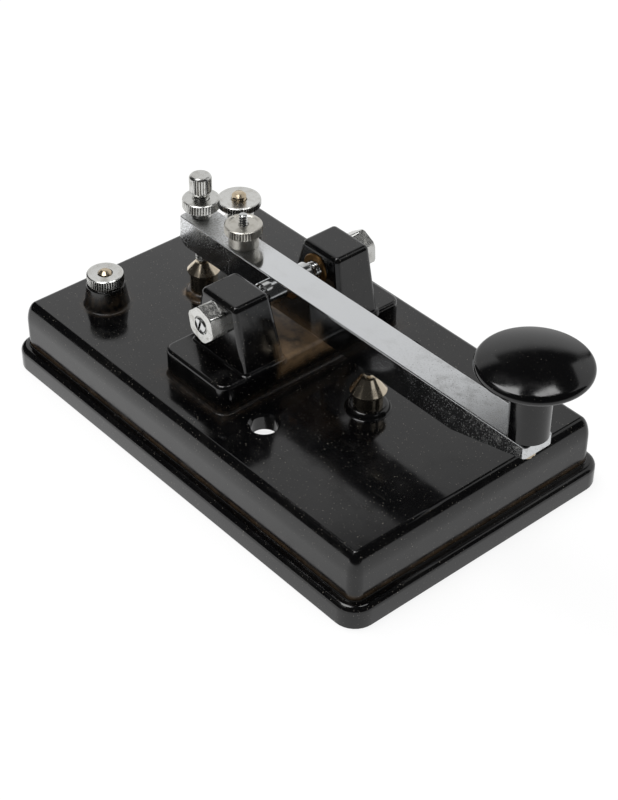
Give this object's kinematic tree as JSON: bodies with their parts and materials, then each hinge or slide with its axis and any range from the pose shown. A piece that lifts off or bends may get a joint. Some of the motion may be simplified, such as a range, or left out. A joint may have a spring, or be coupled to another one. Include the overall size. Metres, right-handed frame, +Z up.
{
  "type": "telegraph key",
  "caption": "Straight telegraph key: hollow black moulded base, rocking metal lever with a round knob, contact posts, adjusting screws with knurled nuts and two wire terminals.",
  "frame": {"origin": "on the surface the key stands on, at the centre of the overall box, midway between the base's rear face and the knob's front", "axes": "+X along the lever towards the knob, +Y to the far side with the taller terminal, +Z up"},
  "size_m": [0.1626, 0.0854, 0.0671],
  "materials": {
    "bakelite": "polished black phenolic moulding, worn",
    "chrome": "bright plating, scratched and stained",
    "nickel": "turned nickel-plated brass, yellowed",
    "brass": "turned, dull",
    "steel": "plain, dull"
  },
  "bodies": {
    "base": {"base": "bakelite", "pivot_bushes": "brass", "return_spring": "steel", "spring_anchor": "brass", "rear_contact": "nickel", "front_contact": "nickel", "terminal_screw_near": "brass", "terminal_screw_far": "brass", "terminal_washers": "steel", "strap_lever": "brass", "strap_contact": "brass", "under_washers": "steel", "under_nuts": "brass"},
    "lever": {"lever": "chrome", "trunnion": "chrome", "lever_contact": "nickel", "knob": "bakelite", "knob_screw": "brass"},
    "back_stop_screw": {"back_stop_screw": "chrome"},
    "back_stop_nut": {"back_stop_nut": "chrome"},
    "tension_nut": {"tension_nut": "chrome"},
    "tension_stud": {"tension_stud": "chrome"},
    "pivot_screw_near": {"pivot_screw_near": "chrome"},
    "pivot_screw_far": {"pivot_screw_far": "chrome"},
    "pivot_nut_near": {"pivot_nut_near": "chrome"},
    "pivot_nut_far": {"pivot_nut_far": "chrome"},
    "terminal_nut_near": {"terminal_nut_near": "chrome"},
    "terminal_nut_far": {"terminal_nut_far": "chrome"}
  },
  "joints": [
    {"name": "lever_rock", "type": "hinge", "parent": "base", "child": "lever", "pos_m": [-0.01685, 0, 0.0402], "axis": [0, 1, 0], "range_deg": [0, 0.8], "stiffness_Nm_per_rad": 0.27, "springref_deg": -24.06, "deforming": ["return_spring"]},
    {"name": "back_stop_screw_turn", "type": "hinge", "parent": "lever", "child": "back_stop_screw", "pos_m": [-0.05035, 0, 0.0505], "axis": [0, 0, 1], "range_deg": [-720, 720]},
    {"name": "back_stop_nut_turn", "type": "hinge", "parent": "lever", "child": "back_stop_nut", "pos_m": [-0.05035, 0, 0.049], "axis": [0, 0, 1], "range_deg": [0, 360]},
    {"name": "tension_nut_turn", "type": "hinge", "parent": "lever", "child": "tension_nut", "pos_m": [-0.03295, 0, 0.0495], "axis": [0, 0, 1], "range_deg": [-720, 720]},
    {"name": "tension_stud_slide", "type": "slide", "parent": "lever", "child": "tension_stud", "axis": [0, 0, 1], "range_m": [-0.0009, 0.0009], "deforming": ["return_spring"]},
    {"name": "pivot_screw_near_turn", "type": "hinge", "parent": "base", "child": "pivot_screw_near", "pos_m": [-0.01685, -0.015, 0.0402], "axis": [0, -1, 0], "range_deg": [0, 720]},
    {"name": "pivot_screw_far_turn", "type": "hinge", "parent": "base", "child": "pivot_screw_far", "pos_m": [-0.01685, 0.015, 0.0402], "axis": [0, 1, 0], "range_deg": [0, 720]},
    {"name": "pivot_nut_near_turn", "type": "hinge", "parent": "base", "child": "pivot_nut_near", "pos_m": [-0.01685, -0.0245, 0.0402], "axis": [0, -1, 0], "range_deg": [0, 720]},
    {"name": "pivot_nut_far_turn", "type": "hinge", "parent": "base", "child": "pivot_nut_far", "pos_m": [-0.01685, 0.0245, 0.0402], "axis": [0, 1, 0], "range_deg": [0, 720]},
    {"name": "terminal_nut_near_turn", "type": "hinge", "parent": "base", "child": "terminal_nut_near", "pos_m": [-0.06375, -0.0226, 0.0283], "axis": [0, 0, 1], "range_deg": [0, 1080]},
    {"name": "terminal_nut_far_turn", "type": "hinge", "parent": "base", "child": "terminal_nut_far", "pos_m": [-0.06375, 0.0232, 0.0325], "axis": [0, 0, 1], "range_deg": [0, 1080]}
  ],
  "couplings": [
    {"joint": "tension_nut_turn", "follows": "tension_stud_slide", "rad_per_m": -13963}
  ]
}
